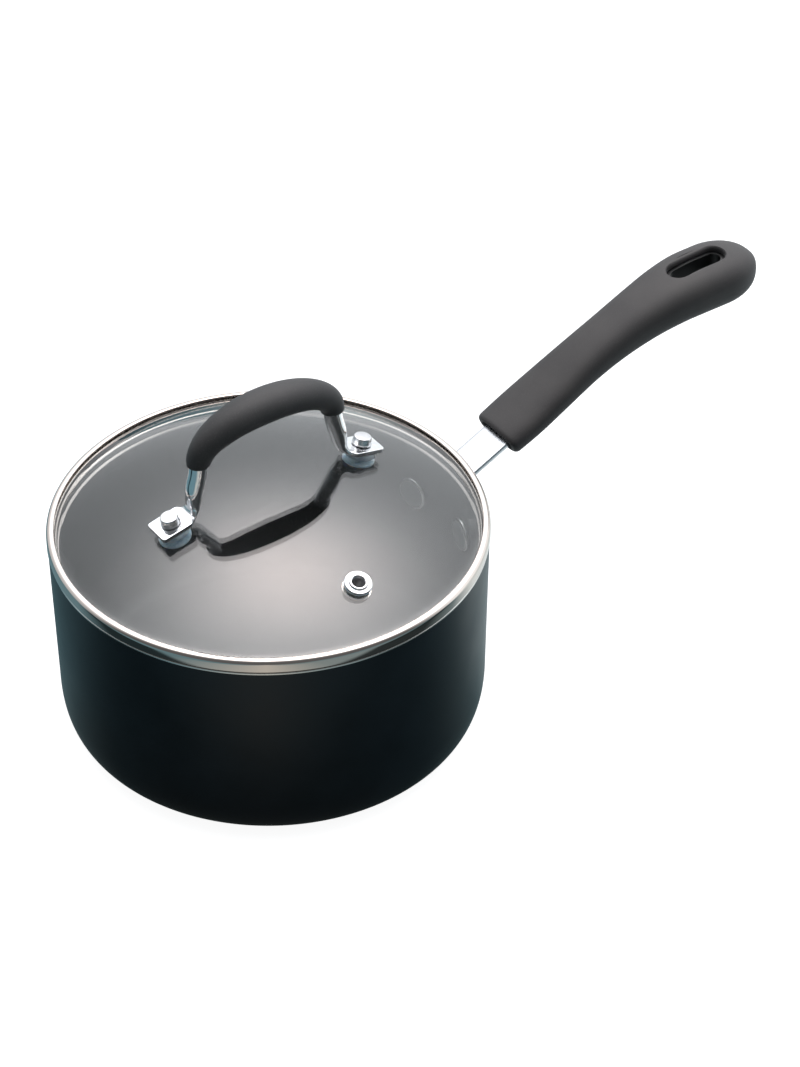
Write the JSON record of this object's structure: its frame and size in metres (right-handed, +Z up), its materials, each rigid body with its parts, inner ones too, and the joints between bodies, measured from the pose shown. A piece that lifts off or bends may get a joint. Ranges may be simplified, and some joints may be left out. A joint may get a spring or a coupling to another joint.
{
  "type": "saucepan with glass lid",
  "caption": "Lidded saucepan: coated drawn pan, domed glass lid with steel rim, steam vent and arched handle, riveted strap handle with soft grip and hanging slot.",
  "frame": {"origin": "centre of the pan's flat base, on the surface it stands on", "axes": "+Z up out of the pan, +X along the pan's handle, +Y to the left of the handle seen from the pan"},
  "size_m": [0.3322, 0.176, 0.1543],
  "materials": {
    "pan_coating": "satin",
    "coated_rivet": "satin",
    "polished_steel": "polished",
    "chrome": "polished",
    "hard_plastic": "matte",
    "soft_grip": "matte",
    "glass": "polished",
    "silicone": "satin"
  },
  "bodies": {
    "pan": {"pan_body": "pan_coating", "pan_rivet_left": "coated_rivet", "pan_rivet_right": "coated_rivet", "handle_bracket": "polished_steel", "handle_core": "hard_plastic", "handle_grip": "soft_grip"},
    "lid": {"lid_glass": "glass", "lid_rim": "polished_steel", "lid_handle_bar": "chrome", "lid_handle_sleeve": "soft_grip", "lid_rivet_left": "chrome", "lid_rivet_right": "chrome", "foot_gasket_left": "silicone", "foot_gasket_right": "silicone", "under_gasket_left": "silicone", "under_gasket_right": "silicone", "under_washer_left": "polished_steel", "under_washer_right": "polished_steel", "vent_eyelet": "chrome", "vent_gasket": "silicone", "vent_washer": "polished_steel"}
  },
  "joints": [
    {"name": "lid_lift", "type": "slide", "parent": "pan", "child": "lid", "axis": [0, 0, 1], "range_m": [0, 0.15]}
  ]
}
